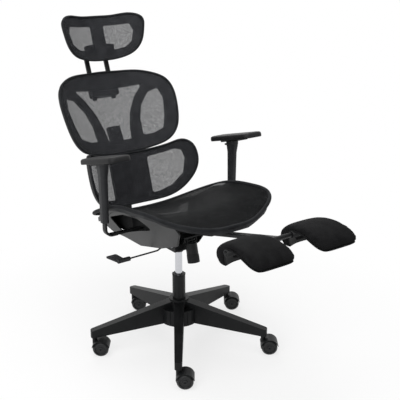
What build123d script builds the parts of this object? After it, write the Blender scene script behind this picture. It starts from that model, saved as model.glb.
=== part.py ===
from build123d import *
import os
from math import asin, atan2, cos, degrees, radians, sin, sqrt

# Reclining office chair with a slide-out footrest, in the reclined pose.
# Millimetres, +Z up, origin on the floor under the gas lift. The sitter faces -Y
# and has the left arm at +X. In a side view, "ahead" is measured towards -Y.

os.makedirs("parts", exist_ok=True)

# ---- fits -------------------------------------------------------------------
run_fit = 0.05          # radial clearance of a shaft or slide that turns
slide_gap = 0.3         # gap between moving faces that are not a fit
cloth_gap = 0.3         # fabric lies this far off the frame that carries it

# ---- star base --------------------------------------------------------------
leg_count = 5
leg_heading = 234.8     # heading of the first leg, degrees from +X
caster_circle = 338     # radius of the caster stems
leg_tip = 352           # radius of the leg ends
hub_radius = 38
hub_bottom = 76
hub_top = 186
leg_top_at_tip = 101
leg_tip_depth = 29
leg_root_depth = 88
leg_root_width = 40
leg_tip_width = 27
leg_wall = 4
leg_rib_count = 4

# ---- casters ----------------------------------------------------------------
wheel_radius = 30
wheel_width = 20
wheel_gap = 15          # space between the twin wheels, filled by the fork web
trail = 24              # axle behind the swivel stem
caster_heading = -36    # the casters have all trailed the same way
hood_gap = 2
hood_wall = 2.5
stem_radius = 5.5
stem_top = 94
axle_radius = 4
boss_radius = 9

# ---- gas lift ---------------------------------------------------------------
tube_radius = 25
tube_wall = 2
tube_bottom = 82
tube_top = 283
rod_radius = 14
rod_bottom = 188
rod_top = 424
bush_depth = 30
bush_flange = 4
scallop_count = 10
scallop_radius = 3.2

# ---- tilt mechanism ---------------------------------------------------------
tilt = 14               # the seat is photographed tilted back by this angle
pivot_ahead = 40        # tilt shaft in front of the gas lift
pivot_height = 430
shaft_radius = 7
housing_half = 50
housing_wall = 4
housing_floor = 400
housing_rear = -46
housing_front = 52
socket_radius = 18
socket_bottom = 381
cheek_gap = 3           # washer space between the housing and a cheek
plate_gauge = 4
plate_height = 28       # underside of the tilt plate above the shaft
plate_front = 98
plate_rear = -142
back_pivot_ahead = -125
back_pivot_height = 6
knob_ahead = 43
cup_radius = 22
cup_top = -1
cup_depth = 38
cup_wall = 2
bolt_radius = 4
spring_radius = 15
spring_wire = 3
spring_turns = 6
knob_radius = 23
knob_length = 36
knob_flutes = 24

# ---- height lever -----------------------------------------------------------
lever_wire = 3
lever_height = 404
lever_pivot = -41
lever_bend = 96
lever_end = 216
grip_length = 50
paddle_reach = 66
paddle_width = 42
paddle_gauge = 5

# ---- seat -------------------------------------------------------------------
seat_half = 256
seat_front = 322
seat_rear = -250
rim_width = 26
rim_gauge = 15
mesh_gauge = 1.2
# Cross-sections of the seat surface: ahead, height at the sides, height in the middle.
seat_stations = (
    (-262, 148, 126),
    (-130, 172, 131),
    (0, 186, 136),
    (130, 171, 134),
    (222, 154, 121),
    (282, 126, 94),
    (330, 92, 71),
)
belly_height = 12
belly_half = 145
belly_wall = 4
flare_half = 244
flare_height = 172
recess_half = 68
deck_gauge = 4

# ---- arms -------------------------------------------------------------------
arm_half = 289          # posts stand this far from the middle
post_ahead = -43
bracket_height = 78
bracket_gauge = 7
bracket_width = 42
bracket_bend = 26
bracket_inner = 88
upright_depth = 24
upright_gauge = 9
sleeve_bottom = 545
sleeve_top = 752
sleeve_foot = (25, 33)
sleeve_head = (36, 50)
pad_length = 245
pad_width = 84
pad_gauge = 20
pad_corner = 24
pad_ahead = 24          # pad centre in front of its post
pad_base_gauge = 6
pad_base_length = 120
pad_base_width = 52
trigger_length = 22
trigger_half = 7
trigger_pivot = 18.5    # behind the middle of the post
trigger_drop = 12

# ---- back -------------------------------------------------------------------
back_lean = 29
back_ahead = -450       # middle of the upper back
back_height = 810
back_wrap = 410
back_gauge = 15
back_bottom = -138
lumbar_lean = 17
lumbar_ahead = -350
lumbar_height = 620
lumbar_wrap = 275
lumbar_gauge = 14
lumbar_panel_half = 86  # the band between the two lumbar windows
spine_gauge = 22
spine_width = 56
spine_bend = 62
spine_reach = 118
carrier_gauge = 8
carrier_height = 46
lumbar_pin_behind = 24
lumbar_pin_drop = 20
lumbar_pin_ahead = lumbar_ahead - lumbar_pin_behind
lumbar_pin_height = lumbar_height - lumbar_pin_drop
lumbar_pin_radius = 5
lug_half = 26
lug_gauge = 6

# ---- headrest ---------------------------------------------------------------
head_lean = 18
head_ahead = -556
head_height = 1128
head_wrap = 280
head_gauge = 13
post_half = 44
head_ear_half = 30
post_width = 18
post_gauge = 9
post_lean = 21
post_ahead_top = -572   # posts where they leave the guide
post_height_top = 985
post_low = -112
post_high = 96
slide_fit = 0.15
guide_depth = 34
head_pin_radius = 5
head_pin_front = 15     # hinge in front of the posts
head_pin_drop = 8       # and below their top
head_knuckle = 8

# ---- footrest ---------------------------------------------------------------
bar_width = 28
bar_gauge = 14
bar_wall = 2
bar_height = 45         # centre of the bar above the tilt shaft
bar_rear = 10
channel_rear = -60
channel_front = 205
channel_wall = 2
tube_ahead = 546
tube_height = 48
cross_radius = 8
rest_pitch = 264
rest_width = 158
arch_radius = 84        # outside of the arched calf pad
arch_ahead = 48         # centre of the arch from the cross tube
arch_drop = 46
arch_from = 2           # ends of the arch, degrees up from the front
arch_to = 168
rest_cushion = 12
rest_shell = 10
sleeve_wall = 4


# ---- frames -----------------------------------------------------------------
def leaning(ahead, height, lean):
    """Frame whose X stays sideways and whose Z leans back by lean degrees."""
    up = (0, sin(radians(lean)), cos(radians(lean)))
    return Plane(origin=(0, -ahead, height), x_dir=(1, 0, 0), z_dir=up).location


SEAT = leaning(pivot_ahead, pivot_height, tilt)
BACK = leaning(back_ahead, back_height, back_lean)
HEAD = leaning(head_ahead, head_height, head_lean)
POST = leaning(post_ahead_top, post_height_top, post_lean)
LUMBAR = leaning(lumbar_ahead, lumbar_height, lumbar_lean)


def seat_to_side(ahead, height):
    """Seat-frame side coordinates to (ahead, height) on the floor frame."""
    c, s = cos(radians(tilt)), sin(radians(tilt))
    return (pivot_ahead + ahead * c - height * s, pivot_height + ahead * s + height * c)


# ---- small shapes -----------------------------------------------------------
def write(name, shape, frame=Location()):
    solids = (frame * shape).solids()
    piece = solids[0] if len(solids) == 1 else Compound(solids)
    export_step(piece, f"parts/{name}.step")


def block(x0, x1, y0, y1, z0, z1):
    box = Box(x1 - x0, y1 - y0, z1 - z0)
    return Pos((x0 + x1) / 2, (y0 + y1) / 2, (z0 + z1) / 2) * box


def disc(radius, z0, z1, x=0, y=0):
    return Pos(x, y, (z0 + z1) / 2) * Cylinder(radius, z1 - z0)


def cross_pin(radius, half, ahead=0, height=0):
    """Round bar along X, centred on the middle plane."""
    return Pos(0, -ahead, height) * Rot(Y=90) * Cylinder(radius, 2 * half)


def rounded(points, radius):
    return make_face(FilletPolyline(*points, radius=radius, close=True))


def side_prism(points, radius, half):
    """Prism across the chair from a rounded (ahead, height) outline."""
    flat = rounded([(-a, h) for a, h in points], radius)
    return extrude(Plane.YZ * flat, half, both=True)


def front_prism(face, reach=260):
    """Prism through the back, fore and aft, from an (x, height) face."""
    return extrude(Plane.XZ * face, reach, both=True)


def mirrored(points):
    """Close a right-hand outline, top middle to bottom middle, on the left."""
    left = [(-x, z) for x, z in reversed(points) if x > 0]
    return [*points, *left]


def both_sides(shape):
    return shape + mirror(shape, Plane.YZ)


def wrapped(face, radius, front, gauge):
    """A plate of the given outline, bent about an upright axis in front of it."""
    axis = Pos(0, -radius, 0)
    reach = 2 * max(abs(v.Z) for v in front_prism(face).vertices()) + 100
    outer = axis * Cylinder(radius + front + gauge, reach)
    inner = axis * Cylinder(radius + front, reach + 2)
    rear_half = block(-radius, radius, -radius, radius, -reach, reach)
    return (outer - inner) & front_prism(face) & rear_half


# ---- star base --------------------------------------------------------------
def leg_section(ahead, width, top, depth):
    plane = Plane(origin=(ahead, 0, top - depth / 2), x_dir=(0, 1, 0), z_dir=(1, 0, 0))
    return plane * Rectangle(width, depth)


def leg():
    root, root_top = hub_radius - 12, hub_top - 4
    outer = loft([leg_section(root, leg_root_width, root_top, leg_root_depth),
                  leg_section(leg_tip, leg_tip_width, leg_top_at_tip, leg_tip_depth)])
    outer = fillet(outer.edges().filter_by(Axis.Z).sort_by(Axis.X)[-2:], 9)
    drop = leg_wall + 20
    hollow = loft([
        leg_section(hub_radius - 6, leg_root_width - 2 * leg_wall, root_top - drop + 14,
                    leg_root_depth),
        leg_section(caster_circle - 20, leg_tip_width - 2 * leg_wall,
                    leg_top_at_tip - leg_wall, leg_tip_depth)])
    body = outer - hollow
    pitch = (caster_circle - 20 - hub_radius) / (leg_rib_count + 1)
    for i in range(leg_rib_count):
        ahead = hub_radius + (i + 1) * pitch
        rib = block(ahead, ahead + 3, -leg_root_width, leg_root_width, 0, 400)
        low = block(ahead - 1, ahead + 4, -leg_root_width, leg_root_width, 0, leg_rib_floor(ahead))
        body += (rib & outer) - low
    return body


def leg_rib_floor(ahead):
    """Ribs stop a little above the open underside of the leg."""
    share = (ahead - hub_radius) / (leg_tip - hub_radius)
    low = (hub_top - 4 - leg_root_depth) * (1 - share) + (leg_top_at_tip - leg_tip_depth) * share
    return low + 6


def star_base():
    base = disc(hub_radius, hub_bottom, hub_top)
    arm = leg()
    socket_hole = disc(stem_radius + run_fit, 0, stem_top + 1, x=caster_circle)
    pad = disc(boss_radius + 3, leg_top_at_tip - leg_tip_depth, leg_top_at_tip - 2, x=caster_circle)
    arm = (arm + pad) - socket_hole
    for k in range(leg_count):
        base += Rot(Z=leg_heading + k * 360 / leg_count) * arm
    return base - disc(tube_radius + run_fit, tube_bottom, hub_top + 1)


# ---- casters ----------------------------------------------------------------
def caster_hood():
    """Web between the wheels, stem boss, and the mudguard over both wheels."""
    half = wheel_gap / 2 + wheel_width
    axle = Pos(trail, 0, wheel_radius) * Rot(X=90)
    guard = axle * (Cylinder(wheel_radius + hood_gap + hood_wall, 2 * half)
                    - Cylinder(wheel_radius + hood_gap, 2 * half + 2))
    guard -= block(trail - 80, trail + 80, -60, 60, -20, wheel_radius + 8)
    web = axle * Cylinder(wheel_radius + hood_gap + 1, wheel_gap - 2 * slide_gap)
    web &= block(-20, trail + 18, -20, 20, wheel_radius - 13, 90)
    boss = disc(boss_radius, wheel_radius + 14, leg_top_at_tip - leg_tip_depth - 1)
    boss -= axle * Cylinder(wheel_radius + hood_gap, 2 * half) - axle * Cylinder(
        wheel_radius + hood_gap, wheel_gap - 2 * slide_gap)
    body = guard + web + boss
    body -= axle * Cylinder(axle_radius, 80)
    return body - disc(stem_radius, wheel_radius + 16, 100)


def caster_pins():
    stem = disc(stem_radius, wheel_radius + 16, stem_top)
    axle = Pos(trail, 0, wheel_radius) * Rot(X=90) * Cylinder(axle_radius, wheel_gap + 2 * wheel_width - 8)
    return Compound([stem, axle])


def caster_wheels():
    """Two dished wheels with a crowned tread."""
    inner = wheel_gap / 2 + slide_gap
    outer = inner + wheel_width - slide_gap
    r = wheel_radius
    profile = Polyline((axle_radius + run_fit, inner), (r - 1.5, inner), (r, inner + 3),
                       (r, outer - 6), (r - 5, outer), (r - 9, outer), (r - 11, outer - 4),
                       (10, outer - 4), (9, outer - 1), (axle_radius + run_fit, outer - 1), close=True)
    wheel = revolve(make_face(Plane.XY * profile), Axis.Y)
    pair = [wheel, mirror(wheel, Plane.XZ)]
    return Pos(trail, 0, wheel_radius) * Compound(pair)


def caster_place(k):
    spoke = Rot(Z=leg_heading + k * 360 / leg_count) * Pos(caster_circle, 0, 0)
    spot = spoke.position
    return Pos(spot.X, spot.Y, 0) * Rot(Z=caster_heading)


# ---- gas lift ---------------------------------------------------------------
def lift_cylinder():
    tube = disc(tube_radius, tube_bottom, tube_top)
    return tube - disc(tube_radius - tube_wall, tube_bottom + 3, tube_top + 1)


def lift_bush():
    """Guide bush with the scalloped ring that shows round the rod."""
    body = disc(tube_radius - tube_wall, tube_top - bush_depth, tube_top)
    body += disc(tube_radius + 1, tube_top, tube_top + bush_flange)
    for k in range(scallop_count):
        notch = disc(scallop_radius, tube_top + 1, tube_top + bush_flange + 1, x=tube_radius + 1)
        body -= Rot(Z=k * 360 / scallop_count) * notch
    return body - disc(rod_radius + run_fit, 0, tube_top + 20)


def lift_rod():
    rod = disc(rod_radius, rod_bottom, rod_top - 6)
    rod += Pos(0, 0, rod_top - 3) * Cone(rod_radius, rod_radius - 4, 6)
    return rod + disc(tube_radius - tube_wall - 1, rod_bottom, rod_bottom + 10)


# ---- tilt mechanism ---------------------------------------------------------
def mech_housing():
    """Pressed tray on the lift, open on top, with the socket for the rod."""
    outline = [(housing_rear, housing_floor), (housing_front, housing_floor),
               (housing_front, pivot_height + 20), (pivot_ahead - 8, pivot_height + 20),
               (housing_rear, pivot_height + 2)]
    shell = side_prism(outline, 5, housing_half)
    inner = [(housing_rear + housing_wall, housing_floor + housing_wall),
             (housing_front - housing_wall, housing_floor + housing_wall),
             (housing_front - housing_wall, pivot_height + 100),
             (housing_rear + housing_wall, pivot_height + 100)]
    shell -= side_prism(inner, 3, housing_half - housing_wall)
    shell += disc(socket_radius, socket_bottom, rod_top - 2)
    shell -= disc(rod_radius + run_fit, socket_bottom - 1, rod_top + 1)
    shell -= cross_pin(shaft_radius + run_fit, housing_half + 5, pivot_ahead, pivot_height)
    slot = block(-housing_half - 5, -housing_half + 10, -16, 16, lever_height + 3, lever_height + 24)
    ears = block(lever_pivot - 6, lever_pivot + 6, -21, 21, lever_height + 6, lever_height + 22)
    ears -= block(lever_pivot - 7, lever_pivot + 7, -16, 16, lever_height, lever_height + 30)
    return shell - slot + ears - lever_pin(run_fit)


def lever_pin(grow=0):
    return Pos(lever_pivot, 0, lever_height + 14) * Rot(X=90) * Cylinder(2.5 + grow, 42)


def tilt_shaft():
    half = housing_half + cheek_gap + plate_gauge
    shaft = cross_pin(shaft_radius, half + 5, pivot_ahead, pivot_height)
    head = cross_pin(shaft_radius + 4, half + 4, pivot_ahead, pivot_height)
    return shaft + (head - cross_pin(shaft_radius + 5, half + slide_gap, pivot_ahead, pivot_height))


def tilt_plate():
    """Folded plate: a flat top with two shaped cheeks for both shafts."""
    half = housing_half + cheek_gap + plate_gauge
    rear, drop = back_pivot_ahead, back_pivot_height
    cheek = [(plate_rear, plate_height + plate_gauge), (plate_rear, drop - 4), (rear, drop - 16),
             (rear + 40, drop + 3), (-30, drop + 3), (-14, -12), (0, -18), (14, -12), (50, 16),
             (plate_front, plate_height - 4), (plate_front, plate_height + plate_gauge)]
    plate = side_prism(cheek, 3, half)
    plate -= block(-half + plate_gauge, half - plate_gauge, -200, 200, -60, plate_height)
    plate -= cross_pin(shaft_radius, half + 5)
    plate -= cross_pin(shaft_radius, half + 5, rear, drop)
    for ahead in (-70, -15):
        plate -= block(-18, 18, -ahead - 15, -ahead + 15, 0, 60)
    return plate - disc(bolt_radius + run_fit, 0, 60, y=-knob_ahead)


def spring_cup():
    cup = disc(cup_radius, cup_top - cup_depth, cup_top, y=-knob_ahead)
    cup -= disc(cup_radius - cup_wall, cup_top - cup_depth + 3, cup_top + 1, y=-knob_ahead)
    ears = block(-cup_radius + 0.5, cup_radius - 0.5, -knob_ahead - 9, -knob_ahead + 9,
                 cup_top - 4, plate_height)
    ears -= block(-cup_radius + 3.5, cup_radius - 3.5, -knob_ahead - 10, -knob_ahead + 10,
                  cup_top - 5, plate_height + 1)
    return cup + ears - disc(bolt_radius + run_fit, -200, 60, y=-knob_ahead)


def tension_spring():
    """Coil round the bolt, between the cup and the plate."""
    low, high = cup_top - cup_depth + 3 + spring_wire, plate_height - spring_wire - 0.5
    path = Helix((high - low) / spring_turns, high - low, spring_radius)
    wire = Plane(origin=path @ 0, z_dir=path % 0) * Circle(spring_wire)
    return Pos(0, -knob_ahead, low) * sweep(wire, path)


def tension_knob():
    """Fluted hand knob with its bolt moulded in."""
    top = cup_top - cup_depth - slide_gap
    knob = Circle(knob_radius)
    for k in range(knob_flutes):
        knob -= Rot(Z=k * 360 / knob_flutes) * Pos(knob_radius + 0.6, 0) * Circle(1.6)
    body = extrude(Pos(0, 0, top - knob_length) * knob, knob_length - 7)
    body += disc(knob_radius - 1, top - 7, top)
    body -= disc(knob_radius - 6, top - knob_length - 1, top - knob_length + 4)
    bolt = disc(bolt_radius, top - 1, plate_height + plate_gauge - 1)
    return Pos(0, -knob_ahead, 0) * (body + bolt)


# ---- height lever -----------------------------------------------------------
def height_lever_rod():
    wall = -housing_half + housing_wall + 1
    path = FilletPolyline((wall + 22, 0, lever_height + 14), (-housing_half - 14, 0, lever_height + 14),
                          (-lever_bend, 0, lever_height), (-lever_end - grip_length + 8, 0, lever_height - 2),
                          radius=9)
    return sweep(Plane(origin=path @ 0, z_dir=path % 0) * Circle(lever_wire), path) + lever_pin()


def height_lever_grip():
    """Moulded handle: a block along the rod and a flat paddle to the rear."""
    near, far = -lever_end, -lever_end - grip_length
    block_part = block(far, near, -7, 7, lever_height - 9, lever_height + 6)
    block_part = fillet(block_part.edges().filter_by(Axis.X), 4)
    outline = [(far, -6), (far + 34, -6), (far + paddle_width - 12, paddle_reach),
               (far - 14, paddle_reach)]
    paddle = extrude(Pos(0, 0, lever_height - 6) * rounded(outline, 6), paddle_gauge)
    return block_part + paddle - height_lever_rod()


# ---- seat -------------------------------------------------------------------
def seat_section(ahead, side, middle, over, under):
    """Upright slice of the seat surface: an arc above and one below."""
    x = seat_half + 8
    y = -ahead
    upper = ThreePointArc((-x, y, side + over), (0, y, middle + over), (x, y, side + over))
    lower = ThreePointArc((x, y, side - under), (0, y, middle - under), (-x, y, side - under))
    left = Line((-x, y, side - under), (-x, y, side + over))
    right = Line((x, y, side + over), (x, y, side - under))
    return Face(Wire([upper, right, lower, left]))


def seat_sheet(over, under):
    """Saddle-shaped sheet between two offsets from the seat surface."""
    return loft([seat_section(a, side, mid, over, under) for a, side, mid in seat_stations])


def seat_plan(inset):
    half, front, rear = seat_half - inset, seat_front - inset, seat_rear + inset
    right = [(half - 36, rear), (half, rear + 130), (half, front - 150),
             (half - 24, front - 72), (half - 90, front - 32), (half - 196, front)]
    points = [(x, -a) for x, a in right] + [(-x, -a) for x, a in reversed(right)]
    return rounded(points, 40)


def seat_prism(inset):
    return extrude(seat_plan(inset), 400, both=True)


def seat_frame():
    ring = seat_prism(0) - seat_prism(rim_width)
    return seat_sheet(-mesh_gauge - cloth_gap, mesh_gauge + cloth_gap + rim_gauge) & ring


def seat_mesh():
    return seat_sheet(0, mesh_gauge) & seat_prism(3)


def flare(offset):
    """Cross-section of the seat tub, wider at the top."""
    low = belly_height + offset
    side = offset * 1.15
    points = [(-belly_half + side, low), (belly_half - side, low),
              (flare_half - side, flare_height), (flare_half - side, flare_height + 200),
              (-flare_half + side, flare_height + 200), (-flare_half + side, flare_height)]
    return extrude(Plane.XZ * make_face(Polyline(*points, close=True)), 600, both=True)


def seat_shell():
    """Moulded tub: a belly round the mechanism and wings up to the rim."""
    keel = [(-246, 260), (-246, 122), (-212, 66), (-148, 46), (-76, belly_height),
            (70, belly_height), (190, 30), (268, 84), (268, 260)]
    window = [(-140, 136), (-134, 66), (0, 82), (112, 90), (66, 134), (-20, 150)]
    tub = (flare(0) - flare(belly_wall)) & side_prism(keel, 20, 400)
    tub -= side_prism(window, 12, 400)
    tub -= block(-recess_half, recess_half, -300, 300, 0, plate_height + plate_gauge)
    wall = belly_wall
    rear, front = -76, 112
    top = plate_height + plate_gauge + deck_gauge
    box = block(-recess_half - wall, recess_half + wall, -front, -rear, belly_height, top)
    box -= block(-recess_half, recess_half, -front - 1, -rear + 1, 0, plate_height + plate_gauge)
    tub += box & side_prism(keel, 20, 400)
    tub += both_sides(arm_boss())
    tub -= seat_sheet(90, mesh_gauge + 2 * cloth_gap + rim_gauge)
    return tub.solids().sort_by(SortBy.VOLUME)[-1]


def arm_boss():
    """Hollow tower on the belly under each arm bracket."""
    c = -post_frame_ahead()
    boss = block(bracket_inner, belly_half - 8, c - 22, c + 22, belly_height + 1, bracket_height)
    return boss - block(bracket_inner + 6, belly_half - 14, c - 16, c + 16,
                        belly_height, bracket_height - 6)


def post_frame_ahead():
    """Where the arm post meets the bracket level, in the seat frame."""
    c, s = cos(radians(tilt)), sin(radians(tilt))
    ahead = post_ahead - pivot_ahead
    return (ahead + bracket_height * s) / c


def footrest_channel():
    """Square tube bolted over the deck, in which the footrest bar slides."""
    half = bar_width / 2 + slide_gap + channel_wall
    low = plate_height + plate_gauge + deck_gauge
    high = bar_height + bar_gauge / 2 + slide_gap + channel_wall
    outer = block(-half, half, -channel_front, -channel_rear, low, high)
    inner = block(-half + channel_wall, half - channel_wall, -channel_front - 1,
                  -channel_rear + 1, bar_height - bar_gauge / 2 - slide_gap, high - channel_wall)
    return outer - inner


# ---- footrest ---------------------------------------------------------------
def footrest_bar():
    """Flat bar with the cross tube welded to its end."""
    half = rest_pitch / 2 + rest_width / 2 - 30
    bar = block(-bar_width / 2, bar_width / 2, -tube_ahead, -bar_rear,
                bar_height - bar_gauge / 2, bar_height + bar_gauge / 2)
    bar = fillet(bar.edges().filter_by(Axis.Y), 3)
    bar -= block(-bar_width / 2 + bar_wall, bar_width / 2 - bar_wall, -tube_ahead + 30, 0,
                 bar_height - bar_gauge / 2 + bar_wall, bar_height + bar_gauge / 2 - bar_wall)
    cross = cross_pin(cross_radius, half, tube_ahead, tube_height)
    return bar + cross - cross_pin(cross_radius - bar_wall, half + 1, tube_ahead, tube_height)


def arch_band(outer, inner):
    """Arc-shaped band across one calf pad, about the arch centre."""
    middle = (arch_from + arch_to) / 2

    def arc(radius):
        return [(-radius * cos(radians(t)), radius * sin(radians(t)))
                for t in (arch_from, middle, arch_to)]
    over, under = arc(outer), arc(inner)
    wire = Wire([ThreePointArc(*over), Line(over[2], under[2]),
                 ThreePointArc(*reversed(under)), Line(under[0], over[0])])
    centre = Pos(-(tube_ahead + arch_ahead), tube_height - arch_drop)
    return extrude(Plane.YZ * centre * Face(wire), rest_width / 2, both=True)


def rest_side(sign):
    return Pos(sign * rest_pitch / 2, 0, 0)


def rest_sleeve(radius):
    return cross_pin(radius, rest_width / 2, tube_ahead, tube_height)


def footrest_pad():
    band = arch_band(arch_radius, arch_radius - rest_cushion)
    return band - rest_sleeve(cross_radius + sleeve_wall + cloth_gap)


def footrest_shell():
    """Arched plate under the cushion with a sleeve round the cross tube."""
    outer = arch_radius - rest_cushion - cloth_gap
    shell = arch_band(outer, outer - rest_shell) + rest_sleeve(cross_radius + sleeve_wall)
    return shell - rest_sleeve(cross_radius + run_fit)


# ---- arms -------------------------------------------------------------------
def post_section(depth_x, depth_y, z):
    return Pos(0, 0, z) * RectangleRounded(depth_x, depth_y, min(depth_x, depth_y) * 0.42)


def arm_bracket():
    """Bent bar: out from the tub, round a bend, and up inside the sleeve."""
    floor_ahead, floor_height = seat_to_side(post_frame_ahead(), bracket_height)
    reach = arm_half - bracket_bend
    flat = block(bracket_inner, reach, -post_frame_ahead() - bracket_width / 2,
                 -post_frame_ahead() + bracket_width / 2, bracket_height,
                 bracket_height + bracket_gauge)
    flat = SEAT * flat
    low = floor_height + bracket_gauge / 2
    bar = FilletPolyline((reach - 20, 0, low), (arm_half, 0, low), (arm_half, 0, sleeve_top - 40),
                         radius=bracket_bend)
    section = Plane(origin=bar @ 0, x_dir=(0, 1, 0), z_dir=bar % 0)
    upright = sweep(section * RectangleRounded(upright_depth, upright_gauge, 3), bar)
    return flat + Pos(0, -post_ahead, 0) * upright


def arm_sleeve():
    """Tapered outer post that slides on the bracket and flares to the pad."""
    neck = sleeve_top - 38
    mid = (sleeve_foot[0] + 3, sleeve_foot[1] + 5)
    lower = loft([post_section(*sleeve_foot, sleeve_bottom), post_section(*mid, neck)])
    upper = loft([post_section(*mid, neck), post_section(*sleeve_head, sleeve_top)])
    body = lower + upper
    bore = block(-upright_gauge / 2 - slide_gap, upright_gauge / 2 + slide_gap,
                 -upright_depth / 2 - slide_gap, upright_depth / 2 + slide_gap,
                 sleeve_bottom - 1, sleeve_top - 12)
    return Pos(arm_half, -post_ahead, 0) * (body - bore)


def pad_frame():
    """Frame on the pad's underside, tilted like the seat, over the post."""
    return Pos(arm_half, 0, 0) * leaning(post_ahead, sleeve_top + 8, tilt)


def pad_base():
    """Turntable on the post and the rail plate that the pad slides on."""
    plate = RectangleRounded(pad_base_width, pad_base_length, 12)
    rail = extrude(Pos(0, -pad_ahead / 2, slide_gap) * plate, pad_base_gauge)
    return rail + disc(stem_radius, -10, slide_gap + 1)


def arm_pad():
    """Padded top with rounded corners."""
    low = pad_base_gauge + 2 * slide_gap
    outline = RectangleRounded(pad_width, pad_length, pad_corner)
    body = extrude(Pos(0, -pad_ahead, low) * outline, pad_gauge)
    return fillet(body.edges().group_by(Axis.Z)[-1], 7)


def arm_post_cap():
    """Wedge on the sleeve that carries the tilted turntable."""
    head = loft([post_section(*sleeve_head, sleeve_top), post_section(*sleeve_head, sleeve_top + 24)])
    head = Pos(arm_half, -post_ahead, 0) * head
    above = pad_frame() * block(-100, 100, -200, 200, 0, 100)
    return head - above


def arm_trigger():
    """Small lever under the pad, behind the post, that frees the height."""
    x, y, z = arm_half, -post_ahead + trigger_pivot, sleeve_top - trigger_drop
    body = block(x - trigger_half, x + trigger_half, y - 3, y + trigger_length, z - 2.5, z + 2.5)
    body = fillet(body.edges().filter_by(Axis.Z), 2.5)
    return body + trigger_pin()


def trigger_pin(grow=0):
    bar = Rot(Y=90) * Cylinder(1.6 + grow, 2 * trigger_half + 8)
    return Pos(arm_half, -post_ahead + trigger_pivot, sleeve_top - trigger_drop) * bar


def trigger_pocket():
    """Slot in the sleeve that the trigger swings in."""
    x, y, z = arm_half, -post_ahead + trigger_pivot, sleeve_top - trigger_drop
    half = trigger_half + slide_gap
    return block(x - half, x + half, y - 3.5, y + 20, z - 5, z + 5) + trigger_pin(run_fit)


# ---- back -------------------------------------------------------------------
def smooth_face(right):
    """Symmetric face inside a spline, from its right-hand points."""
    return make_face(Spline(*mirrored(right), periodic=True))


def back_face():
    return smooth_face(((0, 206), (76, 201), (142, 191), (203, 163), (240, 128), (255, 85),
                        (256, 20), (247, -44), (231, -88), (198, -121), (148, -133),
                        (70, -138), (0, -138)))


def back_windows():
    """One centre opening and two side ones, parted by two curved ribs."""
    side = [(104, -84), (150, -85), (194, -72), (211, -22), (224, 50), (214, 99),
            (170, 93), (128, 42), (109, -16)]
    centre = mirrored([(0, 135), (161, 134), (116, 86), (81, 24), (63, -40), (56, -88), (0, -91)])
    wings = rounded(side, 9)
    return rounded(centre, 7) + wings + mirror(wings, Plane.YZ)


def back_frame():
    face = back_face() - back_windows()
    return wrapped(face, back_wrap, mesh_gauge + cloth_gap, back_gauge)


def back_mesh():
    return wrapped(back_face(), back_wrap, 0, mesh_gauge)


def back_carrier():
    """Clamp between the spine and the lower bar of the back."""
    rear = mesh_gauge + cloth_gap + back_gauge
    inner, deep = rear + carrier_gauge, rear + carrier_gauge + 2 * slide_gap + spine_gauge
    half = spine_width / 2 + slide_gap
    low, high = back_bottom + 6, back_bottom + 6 + carrier_height
    body = block(-half - 6, half + 6, rear - 6, deep + 5, low, high)
    body = fillet(body.edges().filter_by(Axis.Z).sort_by(Axis.Y)[-2:], 5)
    body -= block(-half, half, inner, deep, low - 1, high + 1)
    return body - wrapped(back_face(), back_wrap, mesh_gauge + cloth_gap, back_gauge)


def headrest_guide():
    """Twin socket behind the top bar that the headrest posts slide in."""
    rear = mesh_gauge + cloth_gap + back_gauge
    plate = [(-64, 111), (64, 111), (58, 192), (-58, 192)]
    body = Pos(0, rear - 8, 0) * extrude(Plane.XZ * rounded(plate, 8), -guide_depth)
    body -= wrapped(back_face(), back_wrap, mesh_gauge + cloth_gap, back_gauge)
    return body - BACK.inverse() * POST * post_pair(slide_fit)


def spine_path():
    """Centre line of the spine in side view, on the floor frame."""
    start = seat_to_side(back_pivot_ahead, back_pivot_height)
    gap = mesh_gauge + cloth_gap + back_gauge + carrier_gauge + slide_gap + spine_gauge / 2
    c, s = cos(radians(back_lean)), sin(radians(back_lean))

    def on_back(up):
        return (back_ahead - up * s - gap * c, back_height + up * c - gap * s)
    return [start, (-392, 386), on_back(back_bottom - 30), on_back(back_bottom + spine_reach)]


def back_spine():
    points = [(0, -a, h) for a, h in spine_path()]
    path = FilletPolyline(*points, radius=[spine_bend, 120])
    section = Plane(origin=path @ 0, x_dir=(1, 0, 0), z_dir=path % 0)
    bar = sweep(section * RectangleRounded(spine_width, spine_gauge, 4), path)
    ahead, height = spine_path()[0]
    half = housing_half + cheek_gap - 1
    barrel = cross_pin(shaft_radius + 5, half, ahead, height)
    lug = side_prism([(lumbar_pin_ahead - 24, lumbar_pin_height - 26),
                      (lumbar_pin_ahead + 10, lumbar_pin_height - 10),
                      (lumbar_pin_ahead + 10, lumbar_pin_height + 10),
                      (lumbar_pin_ahead - 24, lumbar_pin_height + 26)], 8, lug_half)
    lug -= block(-lug_half + lug_gauge, lug_half - lug_gauge, -lumbar_pin_ahead - 30,
                 -lumbar_pin_ahead + 14, lumbar_pin_height - 60, lumbar_pin_height + 60)
    body = bar + barrel + lug - cross_pin(shaft_radius + run_fit, 100, ahead, height)
    return body - cross_pin(lumbar_pin_radius + run_fit, lug_half + 5, lumbar_pin_ahead, lumbar_pin_height)


def back_shaft():
    half = housing_half + cheek_gap + plate_gauge
    ahead, height = back_pivot_ahead, back_pivot_height
    shaft = cross_pin(shaft_radius, half + 5, ahead, height)
    head = cross_pin(shaft_radius + 4, half + 4, ahead, height)
    return shaft + (head - cross_pin(shaft_radius + 5, half + slide_gap, ahead, height))


# ---- lumbar -----------------------------------------------------------------
def lumbar_face():
    return smooth_face(((0, 66), (90, 67), (150, 72), (184, 80), (214, 85), (232, 68),
                        (242, 36), (243, -4), (235, -44), (215, -82), (186, -112),
                        (150, -130), (100, -137), (50, -138), (0, -138)))


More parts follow.
